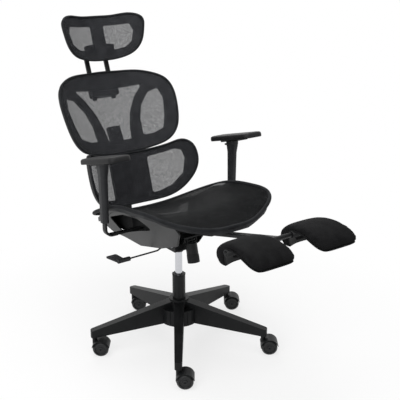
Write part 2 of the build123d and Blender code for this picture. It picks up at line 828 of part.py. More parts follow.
def lumbar_window():
    return rounded([(lumbar_panel_half, 40), (150, 46), (190, 54), (214, 44), (220, 8),
                    (208, -52), (168, -92), (125, -107), (lumbar_panel_half, -112)], 10)


def lumbar_frame():
    window = lumbar_window()
    face = lumbar_face() - window - mirror(window, Plane.YZ)
    return wrapped(face, lumbar_wrap, mesh_gauge + cloth_gap, lumbar_gauge)


def lumbar_mesh():
    return wrapped(lumbar_face(), lumbar_wrap, 0, mesh_gauge)


def lumbar_arm():
    """Hinge arm behind the lumbar panel, with trunnions in the spine lugs."""
    half = lug_half - lug_gauge - slide_gap
    arm = side_prism([(lumbar_pin_ahead - 9, lumbar_pin_height - 9),
                      (lumbar_pin_ahead + 44, lumbar_pin_height - 26),
                      (lumbar_pin_ahead + 40, lumbar_pin_height + 26),
                      (lumbar_pin_ahead - 9, lumbar_pin_height + 9)], 7, half)
    shield = wrapped(lumbar_face(), lumbar_wrap, -60, 60 + mesh_gauge + cloth_gap + lumbar_gauge)
    arm -= LUMBAR * shield
    return arm + cross_pin(lumbar_pin_radius, lug_half, lumbar_pin_ahead, lumbar_pin_height)


# ---- headrest ---------------------------------------------------------------
def head_face():
    return smooth_face(((0, 88), (80, 87), (150, 83), (178, 62), (178, 20), (162, -34),
                        (136, -64), (98, -80), (44, -87), (0, -88)))


def head_window():
    return rounded([(27, 51), (139, 49), (149, 18), (137, -24), (108, -45), (66, -50), (27, -51)], 8)


def headrest_frame():
    window = head_window()
    face = head_face() - window - mirror(window, Plane.YZ)
    return wrapped(face, head_wrap, mesh_gauge + cloth_gap, head_gauge)


def headrest_mesh():
    return wrapped(head_face(), head_wrap, 0, mesh_gauge)


def post_pair(grow=0):
    """The two flat posts, grown all round for the holes they slide in."""
    w, g = post_width / 2 + grow, post_gauge / 2 + grow
    low = post_low - 100 * (grow > 0)
    post = block(post_half - w, post_half + w, -g, g, low, post_high)
    return post + mirror(post, Plane.YZ)


def headrest_posts():
    """Posts joined by a top bar with two ears for the headrest hinge."""
    posts = post_pair()
    posts += block(-post_half - post_width / 2, post_half + post_width / 2, -post_gauge / 2,
                   post_gauge / 2, post_high - 16, post_high)
    ear = block(head_ear_half - 6, head_ear_half, -head_pin_front - 9, 4,
                post_high - head_pin_drop - 9, post_high - head_pin_drop + 9)
    ear = fillet(ear.edges().filter_by(Axis.X), 5)
    posts += both_sides(ear)
    return posts - hinge_hole(run_fit)


def hinge_hole(grow=0, half=60):
    bar = Rot(Y=90) * Cylinder(head_pin_radius + grow, 2 * half)
    return Pos(0, -head_pin_front, post_high - head_pin_drop) * bar


def headrest_bracket():
    """Bow-shaped arm from the hinge to the back of the headrest."""
    half = head_ear_half - 6 - slide_gap
    rear = mesh_gauge + cloth_gap + head_gauge
    spot = Location((0, -head_pin_front, post_high - head_pin_drop))
    pivot = HEAD.inverse() * POST * spot
    y, z = pivot.position.Y, pivot.position.Z
    side = rounded([(rear - 8, -66), (y - 2, z - 7), (y + 4, z), (y - 2, z + 7),
                    (rear - 8, -16)], 2) + Pos(y, z) * Circle(head_knuckle)
    wing = [(-64, -58), (64, -58), (66, -26), (30, -20), (-30, -20), (-66, -26)]
    plate = Pos(0, rear - 12, 0) * extrude(Plane.XZ * rounded(wing, 6), -20)
    body = extrude(Plane.YZ * side, half, both=True) + plate
    body -= wrapped(head_face(), head_wrap, -60, 60 + mesh_gauge + cloth_gap + head_gauge)
    return body + HEAD.inverse() * POST * hinge_hole(0, head_ear_half)


# ---- hand-in ----------------------------------------------------------------
def export_base():
    write("star_base", star_base())
    write("lift_cylinder", lift_cylinder())
    write("lift_bush", lift_bush())
    write("lift_rod", lift_rod())
    hood, pins, wheels = caster_hood(), caster_pins(), caster_wheels()
    for k in range(leg_count):
        write(f"caster_hood_{k + 1}", hood, caster_place(k))
        write(f"caster_pins_{k + 1}", pins, caster_place(k))
        write(f"caster_wheels_{k + 1}", wheels, caster_place(k))


def export_seat():
    write("mech_housing", mech_housing())
    write("tilt_shaft", tilt_shaft())
    write("tilt_plate", tilt_plate(), SEAT)
    write("back_shaft", back_shaft(), SEAT)
    write("spring_cup", spring_cup(), SEAT)
    write("tension_spring", tension_spring(), SEAT)
    write("tension_knob", tension_knob(), SEAT)
    write("height_lever_rod", height_lever_rod())
    write("height_lever_grip", height_lever_grip())
    write("seat_frame", seat_frame(), SEAT)
    write("seat_mesh", seat_mesh(), SEAT)
    write("seat_shell", seat_shell(), SEAT)
    write("footrest_channel", footrest_channel(), SEAT)


def export_footrest():
    write("footrest_bar", footrest_bar(), SEAT)
    shell, pad = footrest_shell(), footrest_pad()
    for side, sign in (("left", 1), ("right", -1)):
        write(f"footrest_shell_{side}", shell, SEAT * rest_side(sign))
        write(f"footrest_pad_{side}", pad, SEAT * rest_side(sign))


def export_arms():
    sleeve = arm_sleeve() + arm_post_cap()
    sleeve -= pad_frame() * disc(stem_radius + run_fit, -12, 40)
    sleeve -= trigger_pocket()
    pieces = {
        "arm_bracket": arm_bracket(),
        "arm_sleeve": sleeve,
        "arm_trigger": arm_trigger(),
        "pad_base": pad_frame() * pad_base(),
        "arm_pad": pad_frame() * arm_pad(),
    }
    for name, piece in pieces.items():
        write(f"{name}_left", piece)
        write(f"{name}_right", mirror(piece, Plane.YZ))


def export_back():
    write("back_frame", back_frame(), BACK)
    write("back_mesh", back_mesh(), BACK)
    write("back_carrier", back_carrier(), BACK)
    write("headrest_guide", headrest_guide(), BACK)
    write("back_spine", back_spine())
    write("lumbar_frame", lumbar_frame(), LUMBAR)
    write("lumbar_mesh", lumbar_mesh(), LUMBAR)
    write("lumbar_arm", lumbar_arm())
    write("headrest_posts", headrest_posts(), POST)
    write("headrest_bracket", headrest_bracket(), HEAD)
    write("headrest_frame", headrest_frame(), HEAD)
    write("headrest_mesh", headrest_mesh(), HEAD)


export_base()
export_seat()
export_footrest()
export_arms()
export_back()
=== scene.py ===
from math import asin, cos, hypot, pi, radians, sin, sqrt

import bmesh
import bpy
import numpy as np
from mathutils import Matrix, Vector


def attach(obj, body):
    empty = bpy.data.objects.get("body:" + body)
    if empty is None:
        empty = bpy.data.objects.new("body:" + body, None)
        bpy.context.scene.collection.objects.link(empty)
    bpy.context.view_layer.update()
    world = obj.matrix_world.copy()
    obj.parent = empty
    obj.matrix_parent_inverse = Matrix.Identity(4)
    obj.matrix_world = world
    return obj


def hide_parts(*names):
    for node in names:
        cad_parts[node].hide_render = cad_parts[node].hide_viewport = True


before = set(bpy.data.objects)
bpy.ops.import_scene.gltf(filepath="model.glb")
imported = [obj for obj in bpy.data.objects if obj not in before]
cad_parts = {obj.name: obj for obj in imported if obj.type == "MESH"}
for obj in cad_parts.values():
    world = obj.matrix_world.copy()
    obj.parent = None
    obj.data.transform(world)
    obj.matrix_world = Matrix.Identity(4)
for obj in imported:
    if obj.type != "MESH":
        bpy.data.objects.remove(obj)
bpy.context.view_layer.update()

bl_info = {
    "name": "Reclining mesh chair",
    "version": (1, 0, 0),
    "blender": (4, 5, 0),
    "location": "3D View > Sidebar > Chair",
    "description": "Dresses the reclining mesh office chair and sets its stage",
    "category": "Add Mesh",
}

MM = 0.001

# Front surfaces of the stretched meshes in millimetres, in a frame that leans back: the centre's
# distance ahead of the lift and height, the lean, the wrap radius and the outline's right half.
BACK = dict(ahead=-450, height=810, lean=29, wrap=410, outline=(
    (0, 206), (76, 201), (142, 191), (203, 163), (240, 128), (255, 85), (256, 20), (247, -44),
    (231, -89), (198, -122), (148, -135), (70, -140), (0, -140)))
LUMBAR = dict(ahead=-350, height=620, lean=17, wrap=275, outline=(
    (0, 67), (90, 68), (150, 73), (184, 80), (214, 84), (232, 69), (242, 36), (243, -4),
    (235, -44), (215, -82), (186, -112), (150, -130), (100, -137), (50, -138), (0, -138)))
HEAD = dict(ahead=-556, height=1128, lean=18, wrap=280, outline=(
    (0, 88), (80, 87), (150, 83), (178, 62), (178, 20), (162, -34), (136, -64), (98, -80),
    (44, -87), (0, -88)))
LEG_HEADING = 234.8
SEAT_LEAN = 14
SEAT_AHEAD = 40
SEAT_HEIGHT = 430
SEAT_STATIONS = ((-262, 148, 126), (-130, 172, 131), (0, 186, 136), (130, 171, 134),
                 (222, 154, 121), (282, 126, 94), (330, 92, 71))
SEAT_OUTLINE = ((0, 322), (60, 322), (166, 290), (232, 250), (256, 172), (256, 0), (256, -120),
                (222, -246), (120, -250), (0, -250))
# Calf cushion from its rear end, 0, to its front end, 1: how far ahead of the lift and how high
# its upper side is, then the same of its underside.
CALF_STATIONS = (
    (0.0, 506, 556, 526, 558), (0.1, 490, 578, 524, 574), (0.2, 491, 603, 527, 593),
    (0.3, 512, 622, 538, 611), (0.4, 548, 634, 558, 621), (0.5, 588, 638, 590, 622),
    (0.6, 625, 636, 620, 614), (0.7, 657, 630, 646, 605), (0.8, 682, 620, 669, 598),
    (0.9, 698, 608, 689, 595), (1.0, 703, 598, 702, 594))
CALF_SIDE = 132.0           # middle of each cushion, to the side of the chair's middle
CALF_HALF = 77.0
SLEEVE = (558.2, 608.7)     # middle of the cross tube, ahead of the lift and high
SLEEVE_RADIUS = 12.5
CROSS_TUBE_CLEAR = 9.0      # the shell plate stays this far from the cross tube's middle
SEAT_ARC_HALF = 264.0       # half the width that each station's arc is laid over
LEG_HALF_ANGLE = 15.5       # a leg takes this many degrees of the hub to each side
WEAVE = (4.0, 3.2)          # pitch of the warp and weft
LAMPS = (                   # name, place, what it is aimed at, size and power
    ("top", (-0.5, -0.4, 3.6), (0, 0, 0.6), 2.4, 70),
    ("key", (-3.2, -1.6, 2.0), (0, 0, 0.6), 2.0, 60),
    ("back", (1.2, 3.0, 3.2), (0, 0, 0.8), 2.2, 40))
CAMERA_AT = (-1.488, -2.174, 1.468)
CAMERA_WAY = (0.5902, 0.8073)
CAMERA_DOWN = 18.55


# ---- geometry helpers ---------------------------------------------------------
def leaning(x, y, z, ahead, height, lean):
    """A point of a frame that leans back, in metres in the chair's frame."""
    c, s = cos(radians(lean)), sin(radians(lean))
    return Vector((x * MM, (-ahead + y * c + z * s) * MM, (height - y * s + z * c) * MM))


def seat_point(x, ahead, height):
    return leaning(x, -ahead, height, SEAT_AHEAD, SEAT_HEIGHT, SEAT_LEAN)


def closed_outline(right):
    """Right half of an outline, joined to its mirror image."""
    return [*right, *[(-x, z) for x, z in reversed(right) if x > 0]]


def spline_value(s, t, ends, bends, h):
    """Cubic between two ends a step h apart, with s and t the share of each end."""
    return (s * ends[0] + t * ends[1]
            + ((s ** 3 - s) * bends[0] + (t ** 3 - t) * bends[1]) * h * h / 6)


def smooth_loop(points, count):
    """Points along the closed cubic curve through the given ones."""
    p = np.array(points, float)
    n = len(p)
    step = np.linalg.norm(np.roll(p, -1, axis=0) - p, axis=1)
    grid = np.zeros((n, n))
    right = np.zeros((n, 2))
    for i in range(n):
        before, after = step[i - 1], step[i]
        grid[i, i - 1] += before
        grid[i, i] += 2 * (before + after)
        grid[i, (i + 1) % n] += after
        right[i] = 6 * ((p[(i + 1) % n] - p[i]) / after - (p[i] - p[i - 1]) / before)
    bend = np.linalg.solve(grid, right)
    ends = np.concatenate(([0], np.cumsum(step)))
    loop = []
    for t in np.linspace(0, ends[-1], count, endpoint=False):
        i = min(int(np.searchsorted(ends, t, side="right")) - 1, n - 1)
        j, h, u = (i + 1) % n, step[i], t - ends[i]
        a, b = (h - u) / h, u / h
        loop.append(spline_value(a, b, (p[i], p[j]), (bend[i], bend[j]), h))
    return loop


def new_mesh(name, verts, faces, edges=()):
    mesh = bpy.data.meshes.new(name)
    mesh.from_pydata([tuple(v) for v in verts], list(edges), faces)
    mesh.validate()
    return mesh


def new_piece(name, mesh, smooth=True):
    piece = bpy.data.objects.new(name, mesh)
    bpy.context.collection.objects.link(piece)
    if smooth:
        for face in mesh.polygons:
            face.use_smooth = True
    return piece


def face_outward(mesh):
    work = bmesh.new()
    work.from_mesh(mesh)
    bmesh.ops.remove_doubles(work, verts=work.verts, dist=1e-6)
    bmesh.ops.recalc_face_normals(work, faces=work.faces)
    work.to_mesh(mesh)
    work.free()
    return mesh


def ring_faces(rings, count):
    """Faces between rings of points of the same count, with the first and last ring closed."""
    faces = []
    for r in range(rings - 1):
        for k in range(count):
            m = (k + 1) % count
            faces.append((r * count + k, r * count + m, (r + 1) * count + m, (r + 1) * count + k))
    faces.append(tuple(reversed(range(count))))
    faces.append(tuple(range((rings - 1) * count, rings * count)))
    return faces


def apply_modifiers(piece):
    """The piece as its modifiers leave it, with none left on it."""
    bpy.context.view_layer.update()
    graph = bpy.context.evaluated_depsgraph_get()
    done = bpy.data.meshes.new_from_object(piece.evaluated_get(graph))
    piece.modifiers.clear()
    piece.data = done
    return piece


def ringed_sheet(name, outline, place, stretch, rings=22, around=160):
    """Disc-like grid inside an outline, with a UV map in metres of cloth."""
    loop = smooth_loop(closed_outline(outline), around)
    middle = np.mean(np.array(loop), axis=0)
    verts, flat, faces = [place(*middle)], [stretch(*middle)], []
    for r in range(1, rings + 1):
        share = 1 - (1 - r / rings) ** 1.25
        for p in loop:
            q = middle + (p - middle) * share
            verts.append(place(*q))
            flat.append(stretch(*q))
    for k in range(around):
        faces.append((0, 1 + k, 1 + (k + 1) % around))
    for r in range(rings - 1):
        low, high = 1 + r * around, 1 + (r + 1) * around
        for k in range(around):
            m = (k + 1) % around
            faces.append((low + k, high + k, high + m, low + m))
    mesh = new_mesh(name, verts, faces)
    layer = mesh.uv_layers.new(name="weave")
    for face in mesh.polygons:
        for corner in face.loop_indices:
            layer.data[corner].uv = flat[mesh.loops[corner].vertex_index]
    return mesh, [place(*p) for p in loop]


# ---- materials ----------------------------------------------------------------
def colour(text, alpha=1.0):
    """An sRGB hex value, or a tone from the settings, as linear red, green, blue and alpha."""
    if not isinstance(text, str):
        return tuple(text)
    parts = [int(text[i:i + 2], 16) / 255 for i in (1, 3, 5)]
    linear = [c / 12.92 if c <= 0.04045 else ((c + 0.055) / 1.055) ** 2.4 for c in parts]
    return (*linear, alpha)


def add(tree, kind, settings=(), inputs=(), links=()):
    """One node with its settings, its input values and the links into it."""
    node = tree.nodes.new(kind)
    for key, value in dict(settings).items():
        setattr(node, key, value)
    for key, value in dict(inputs).items():
        node.inputs[key].default_value = value
    for key, source in dict(links).items():
        tree.links.new(source, node.inputs[key])
    return node


def blank(name):
    found = bpy.data.materials.get(name)
    if found:
        return found, None
    made = bpy.data.materials.new(name)
    made.use_nodes = True
    made.node_tree.nodes.clear()
    return made, made.node_tree


def two_tones(tree, source, dark, light):
    ramp = add(tree, "ShaderNodeValToRGB", links={"Fac": source})
    ramp.color_ramp.elements[0].position = 0.35
    ramp.color_ramp.elements[0].color = colour(dark)
    ramp.color_ramp.elements[1].position = 0.7
    ramp.color_ramp.elements[1].color = colour(light)
    return ramp.outputs["Color"]


def grained(name, dark, light, roughness, grain_mm, depth_mm, coat=0.0, metallic=0.0, round_mm=1.0,
            edge_highlight_tone="#4a4c4e", edge_highlight=0.35, shine=0.22):
    """Hard finish with a grain, two close tones, and edges that are rounded and painted lighter as
    a highlight.
    """
    # The grain is drawn coarser than a real moulded or sprayed one, which is under 1 mm.
    made, tree = blank(name)
    if tree is None:
        return made
    place = add(tree, "ShaderNodeTexCoord").outputs["Object"]
    grain = add(tree, "ShaderNodeTexNoise", {"noise_dimensions": "3D"},
                {"Scale": 1 / (grain_mm * MM), "Detail": 3.0, "Roughness": 0.6}, {"Vector": place})
    cloud = add(tree, "ShaderNodeTexNoise", {"noise_dimensions": "3D"},
                {"Scale": 1 / (60 * MM), "Detail": 4.0, "Roughness": 0.6}, {"Vector": place})
    gloss = add(tree, "ShaderNodeMapRange", (),
                {"To Min": roughness - 0.05, "To Max": roughness + 0.07},
                {"Value": cloud.outputs["Fac"]})
    edge = add(tree, "ShaderNodeBevel", {"samples": 6}, {"Radius": round_mm * MM})
    bump = add(tree, "ShaderNodeBump", (), {"Strength": 0.5, "Distance": depth_mm * MM},
               {"Height": grain.outputs["Fac"], "Normal": edge.outputs["Normal"]})
    turned = add(tree, "ShaderNodeVectorMath", {"operation": "DOT_PRODUCT"},
                 links={0: edge.outputs["Normal"],
                        1: add(tree, "ShaderNodeNewGeometry").outputs["Normal"]})
    # Painted highlight: where the rounded normal turns away from the true one, the tone is mixed
    # towards a lighter grey.
    painted_edge_highlight = add(tree, "ShaderNodeMapRange", (),
                 {"From Min": 0.99, "From Max": 0.8, "To Max": edge_highlight},
                 {"Value": turned.outputs["Value"]})
    tone = add(tree, "ShaderNodeMixRGB", (), {"Color2": colour(edge_highlight_tone)},
               {"Fac": painted_edge_highlight.outputs["Result"],
                "Color1": two_tones(tree, cloud.outputs["Fac"], dark, light)})
    skin = add(tree, "ShaderNodeBsdfPrincipled", (),
               {"Metallic": metallic, "Coat Weight": coat, "Coat Roughness": 0.2,
                "Specular IOR Level": shine},
               {"Base Color": tone.outputs["Color"],
                "Roughness": gloss.outputs["Result"], "Normal": bump.outputs["Normal"]})
    add(tree, "ShaderNodeOutputMaterial", links={"Surface": skin.outputs["BSDF"]})
    return made


def glass_filled_nylon():
    # Injection-moulded nylon with a spark-eroded grain: near-black with a soft, broken shine.
    look = bpy.context.scene.chair_settings
    return grained("glass_filled_nylon", look.nylon_dark, look.nylon_light, 0.42, 2.2, 0.10,
                   shine=0.17)


def moulded_polypropylene():
    # Moulded polypropylene of the tub and posts: a shade greyer and duller than the nylon.
    return grained("moulded_polypropylene", "#202123", "#2a2b2d", 0.44, 2.0, 0.10)


def tub_polypropylene():
    # The same plastic in black on the seat tub, with a finer grain and a deeper shine.
    return grained("tub_polypropylene", "#131415", "#1b1c1d", 0.36, 1.8, 0.06, shine=0.25)


def frame_polypropylene():
    # The same plastic in black, behind the stretched mesh.
    return grained("frame_polypropylene", "#0f1011", "#171819", 0.5, 2.0, 0.10)


def powder_coated_steel():
    # Sprayed and baked black powder on pressed steel: a slight orange peel.
    return grained("powder_coated_steel", "#0c0d0e", "#141516", 0.4, 3.2, 0.12)


def polished_chrome():
    # Hard-chromed and ground piston rod: bright with faint rings from the grinding.
    made, tree = blank("polished_chrome")
    if tree is None:
        return made
    place = add(tree, "ShaderNodeTexCoord").outputs["Object"]
    flat = add(tree, "ShaderNodeMapping", (), {"Scale": (40.0, 40.0, 900.0)}, {"Vector": place})
    rings = add(tree, "ShaderNodeTexNoise", (), {"Scale": 1.0, "Detail": 2.0},
                {"Vector": flat.outputs["Vector"]})
    gloss = add(tree, "ShaderNodeMapRange", (), {"To Min": 0.08, "To Max": 0.2},
                {"Value": rings.outputs["Fac"]})
    skin = add(tree, "ShaderNodeBsdfPrincipled", (),
               {"Base Color": colour("#c9cace"), "Metallic": 1.0},
               {"Roughness": gloss.outputs["Result"]})
    add(tree, "ShaderNodeOutputMaterial", links={"Surface": skin.outputs["BSDF"]})
    return made


def zinc_plated_steel():
    # Turned and zinc-plated pins: grey metal with a satin shine.
    return grained("zinc_plated_steel", "#7d7f82", "#9a9c9f", 0.34, 1.5, 0.05, metallic=1.0,
                   edge_highlight=0.0,
                   shine=0.5)


def black_oxide_steel():
    # Blackened axle and stem steel: a dark metal with a dull oily shine.
    return grained("black_oxide_steel", "#26272a", "#323336", 0.4, 1.5, 0.05, metallic=1.0,
                   edge_highlight=0.0, shine=0.5)


def caster_polyurethane():
    # Smooth moulded treads: dark and slightly shiny, scuffed duller in patches.
    return grained("caster_polyurethane", "#161718", "#222324", 0.36, 6.0, 0.08, shine=0.3)


def foam_skin():
    # Self-skinned polyurethane foam of the arm pads: soft black with a fine leather-like grain.
    return grained("foam_skin", "#131314", "#1b1b1c", 0.5, 2.6, 0.22, shine=0.2)


def woven(name, dark, light, warp_mm, weft_mm, cover, sheen=0.06, shine=0.15):
    """Open weave from a UV map in metres: warp and weft threads with holes between them."""
    # The threads are drawn about two to four times coarser than those of a real mesh of this
    # kind, which are usually 1 to 2 mm apart.
    made, tree = blank(name)
    if tree is None:
        return made
    across = add(tree, "ShaderNodeSeparateXYZ",
                 links={"Vector": add(tree, "ShaderNodeUVMap", {"uv_map": "weave"}).outputs["UV"]})
    lines = []
    for socket, pitch in (("X", warp_mm), ("Y", weft_mm)):
        turn = add(tree, "ShaderNodeMath", {"operation": "MULTIPLY"}, {1: 2 * pi / (pitch * MM)},
                   {0: across.outputs[socket]})
        wave = add(tree, "ShaderNodeMath", {"operation": "SINE"}, (), {0: turn.outputs[0]})
        lines.append(wave.outputs[0])
    weave = add(tree, "ShaderNodeMath", {"operation": "MAXIMUM"}, (), {0: lines[0], 1: lines[1]})
    place = add(tree, "ShaderNodeTexCoord").outputs["Object"]
    cloud = add(tree, "ShaderNodeTexNoise", (), {"Scale": 1 / (35 * MM), "Detail": 5.0},
                {"Vector": place})
    fuzz = add(tree, "ShaderNodeTexNoise", (), {"Scale": 1 / (9.0 * MM), "Detail": 3.0},
               {"Vector": place})
    bump = add(tree, "ShaderNodeBump", (), {"Strength": 0.4, "Distance": 0.15 * MM},
               {"Height": weave.outputs[0]})
    thread = add(tree, "ShaderNodeBsdfPrincipled", (),
                 {"Roughness": 0.7, "Sheen Weight": sheen, "Sheen Roughness": 0.4,
                  "Specular IOR Level": shine},
                 {"Base Color": two_tones(tree, cloud.outputs["Fac"], dark, light),
                  "Normal": bump.outputs["Normal"]})
    shader = thread.outputs["BSDF"]
    if cover < 1:
        height = add(tree, "ShaderNodeMapRange", {"interpolation_type": "SMOOTHSTEP"},
                     {"From Min": -0.3, "From Max": 0.6, "To Min": cover - 0.3,
                      "To Max": cover + 0.22},
                     {"Value": weave.outputs[0]})
        loose = add(tree, "ShaderNodeMapRange", (),
                    {"From Min": 0.25, "From Max": 0.75, "To Min": -0.07, "To Max": 0.07},
                    {"Value": fuzz.outputs["Fac"]})
        share = add(tree, "ShaderNodeMath", {"operation": "ADD", "use_clamp": True}, (),
                    {0: height.outputs["Result"], 1: loose.outputs["Result"]})
        clear = add(tree, "ShaderNodeBsdfTransparent")
        mixed = add(tree, "ShaderNodeMixShader", (), (),
                    {"Fac": share.outputs[0], 1: clear.outputs["BSDF"], 2: thread.outputs["BSDF"]})
        shader = mixed.outputs["Shader"]
    add(tree, "ShaderNodeOutputMaterial", links={"Surface": shader})
    return made


def back_weave():
    # Raschel-knitted polyester mesh: black threads, about half open in each face of the cloth.
    look = bpy.context.scene.chair_settings
    return woven("raschel_mesh", look.mesh_dark, look.mesh_light, *WEAVE, 0.54)


def seat_weave():
    # The heavier monofilament mesh of the seat: almost closed and nearly black.
    return woven("monofilament_seat_mesh", "#0e0f10", "#161718", *WEAVE, 0.92, 0.012, 0.05)


def knitted_cloth():
    # Warp-knitted polyester over foam on the calf pads: flat black with a little sheen. The
    # stitches are drawn coarser than real ones, which are under 1 mm.
    made, tree = blank("warp_knit_cloth")
    if tree is None:
        return made
    place = add(tree, "ShaderNodeTexCoord").outputs["Object"]
    cells = add(tree, "ShaderNodeTexVoronoi", {"feature": "F1"}, {"Scale": 1 / (3.0 * MM)},
                {"Vector": place})
    cloud = add(tree, "ShaderNodeTexNoise", (), {"Scale": 1 / (25 * MM), "Detail": 5.0},
                {"Vector": place})
    bump = add(tree, "ShaderNodeBump", (), {"Strength": 0.7, "Distance": 0.3 * MM},
               {"Height": cells.outputs["Distance"]})
    skin = add(tree, "ShaderNodeBsdfPrincipled", (),
               {"Roughness": 0.85, "Sheen Weight": 0.015, "Sheen Roughness": 0.5,
                "Specular IOR Level": 0.06},
               {"Base Color": two_tones(tree, cloud.outputs["Fac"], "#0f0f10", "#171718"),
                "Normal": bump.outputs["Normal"]})
    add(tree, "ShaderNodeOutputMaterial", links={"Surface": skin.outputs["BSDF"]})
    return made


FINISHES = (
    ("star_base", glass_filled_nylon), ("lift_cylinder", powder_coated_steel),
    ("lift_bush", glass_filled_nylon), ("lift_rod", polished_chrome),
    ("caster_hood", glass_filled_nylon), ("caster_pins", black_oxide_steel),
    ("caster_wheels", caster_polyurethane), ("mech_housing", powder_coated_steel),
    ("tilt_shaft", zinc_plated_steel), ("back_shaft", zinc_plated_steel),
    ("tilt_plate", powder_coated_steel), ("spring_cup", powder_coated_steel),
    ("tension_spring", powder_coated_steel), ("tension_knob", glass_filled_nylon),
    ("height_lever_rod", powder_coated_steel), ("height_lever_grip", moulded_polypropylene),
    ("seat_frame", moulded_polypropylene), ("seat_shell", tub_polypropylene),
    ("footrest_channel", powder_coated_steel), ("footrest_bar", powder_coated_steel),
    ("footrest_shell", frame_polypropylene), ("arm_bracket", powder_coated_steel),
    ("arm_sleeve", moulded_polypropylene), ("arm_trigger", glass_filled_nylon),
    ("pad_base", frame_polypropylene), ("back_spine", powder_coated_steel),
    ("back_carrier", frame_polypropylene), ("back_frame", frame_polypropylene),
    ("lumbar_frame", frame_polypropylene), ("lumbar_arm", frame_polypropylene),
    ("headrest_guide", frame_polypropylene), ("headrest_posts", powder_coated_steel),
    ("headrest_bracket", frame_polypropylene), ("headrest_frame", frame_polypropylene),
)


def dress(node, finish):
    made = finish()
    for slot in node.material_slots:
        slot.material = made
    if not node.material_slots:
        node.data.materials.append(made)


# ---- pieces -------------------------------------------------------------------
def new_tree(name, *inputs, output):
    """A geometry node tree with named inputs and one output, and its input node."""
    tree = bpy.data.node_groups.new(name, "GeometryNodeTree")
    for socket, kind in inputs:
        tree.interface.new_socket(socket, in_out="INPUT", socket_type="NodeSocket" + kind)
    tree.interface.new_socket(output, in_out="OUTPUT", socket_type="NodeSocketGeometry")
    return tree, add(tree, "NodeGroupInput")


def edge_roll_tree():
    """Rolls a round bead along every closed line of the mesh it is given."""
    tree = bpy.data.node_groups.get("edge_roll")
    if tree:
        return tree
    tree, start = new_tree("edge_roll", ("Line", "Geometry"), ("Radius", "Float"),
                           ("Cloth", "Material"), output="Roll")
    line = add(tree, "GeometryNodeMeshToCurve", links={"Mesh": start.outputs["Line"]})
    ring = add(tree, "GeometryNodeCurvePrimitiveCircle", (), {"Resolution": 12},
               {"Radius": start.outputs["Radius"]})
    tube = add(tree, "GeometryNodeCurveToMesh",
               links={"Curve": line.outputs["Curve"], "Profile Curve": ring.outputs["Curve"]})
    whole = add(tree, "GeometryNodeRealizeInstances", links={"Geometry": tube.outputs["Mesh"]})
    cloth = add(tree, "GeometryNodeSetMaterial",
                links={"Geometry": whole.outputs["Geometry"], "Material": start.outputs["Cloth"]})
    add(tree, "NodeGroupOutput", links={"Roll": cloth.outputs["Geometry"]})
    return tree


def around_tree():
    """Repeats its source at even angles round the lift's axis."""
    tree = bpy.data.node_groups.get("around_axis")
    if tree:
        return tree
    tree, start = new_tree("around_axis", ("Sector", "Geometry"), ("Count", "Int"),
                           ("Heading", "Float"), ("Finish", "Material"), output="Ring")
    spots = add(tree, "GeometryNodePoints", links={"Count": start.outputs["Count"]})
    step = add(tree, "ShaderNodeMath", {"operation": "DIVIDE"}, {0: 2 * pi},
               {1: start.outputs["Count"]})
    turn = add(tree, "ShaderNodeMath", {"operation": "MULTIPLY_ADD"},
               links={0: add(tree, "GeometryNodeInputIndex").outputs["Index"], 1: step.outputs[0],
                      2: start.outputs["Heading"]})
    upright = add(tree, "ShaderNodeCombineXYZ", links={"Z": turn.outputs[0]})
    stood = add(tree, "GeometryNodeInstanceOnPoints",
                links={"Points": spots.outputs["Points"], "Instance": start.outputs["Sector"],
                       "Rotation": upright.outputs["Vector"]})
    whole = add(tree, "GeometryNodeRealizeInstances",
                links={"Geometry": stood.outputs["Instances"]})
    finish = add(tree, "GeometryNodeSetMaterial",
                 links={"Geometry": whole.outputs["Geometry"], "Material": start.outputs["Finish"]})
    add(tree, "NodeGroupOutput", links={"Ring": finish.outputs["Geometry"]})
    return tree


def screw_tree():
    """Stands a copy of the screw head on every point, along the point's own direction."""
    tree = bpy.data.node_groups.get("screw_heads")
    if tree:
        return tree
    tree, start = new_tree("screw_heads", ("Points", "Geometry"), ("Head", "Object"),
                           ("Scale", "Float"), ("Steel", "Material"), output="Screws")
    way = add(tree, "GeometryNodeInputNamedAttribute", {"data_type": "FLOAT_VECTOR"},
              {"Name": "facing"})
    turn = add(tree, "FunctionNodeAlignRotationToVector", {"axis": "Z"},
               links={"Vector": way.outputs["Attribute"]})
    head = add(tree, "GeometryNodeObjectInfo", links={"Object": start.outputs["Head"]})
    stood = add(tree, "GeometryNodeInstanceOnPoints",
                links={"Points": start.outputs["Points"], "Instance": head.outputs["Geometry"],
                       "Rotation": turn.outputs["Rotation"], "Scale": start.outputs["Scale"]})
    whole = add(tree, "GeometryNodeRealizeInstances",
                links={"Geometry": stood.outputs["Instances"]})
    steel = add(tree, "GeometryNodeSetMaterial",
                links={"Geometry": whole.outputs["Geometry"], "Material": start.outputs["Steel"]})
    add(tree, "NodeGroupOutput", links={"Screws": steel.outputs["Geometry"]})
    return tree


def run_tree(name, mesh, tree, values):
    """A plain mesh piece made by a node tree from a source mesh."""
    source = new_piece(name, mesh, smooth=False)
    step = source.modifiers.new("make", "NODES")
    step.node_group = tree
    for item in tree.interface.items_tree:
        if item.name in values:
            step[item.identifier] = values[item.name]
    apply_modifiers(source)
    for face in source.data.polygons:
        face.use_smooth = True
    return source


def edge_roll(name, line, radius, cloth):
    count = len(line)
    mesh = new_mesh(name, line, [], [(i, (i + 1) % count) for i in range(count)])
    return run_tree(name, mesh, edge_roll_tree(), {"Radius": radius * MM, "Cloth": cloth})


def screw_head():
    """Button head with a six-sided socket, 8 mm across."""
    profile = ((4.0, 0.0), (4.0, 0.8), (3.2, 1.9), (1.9, 2.3), (1.7, 0.9))
    verts, around = [], 12
    for radius, height in profile:
        for k in range(around):
            flat = 0.866 if radius < 1.8 and k % 2 else 1.0
            a = 2 * pi * k / around
            verts.append((radius * flat * cos(a) * MM, radius * flat * sin(a) * MM, height * MM))
    faces = ring_faces(len(profile), around)
    return new_piece("screw_head", face_outward(new_mesh("screw_head", verts, faces)), smooth=False)


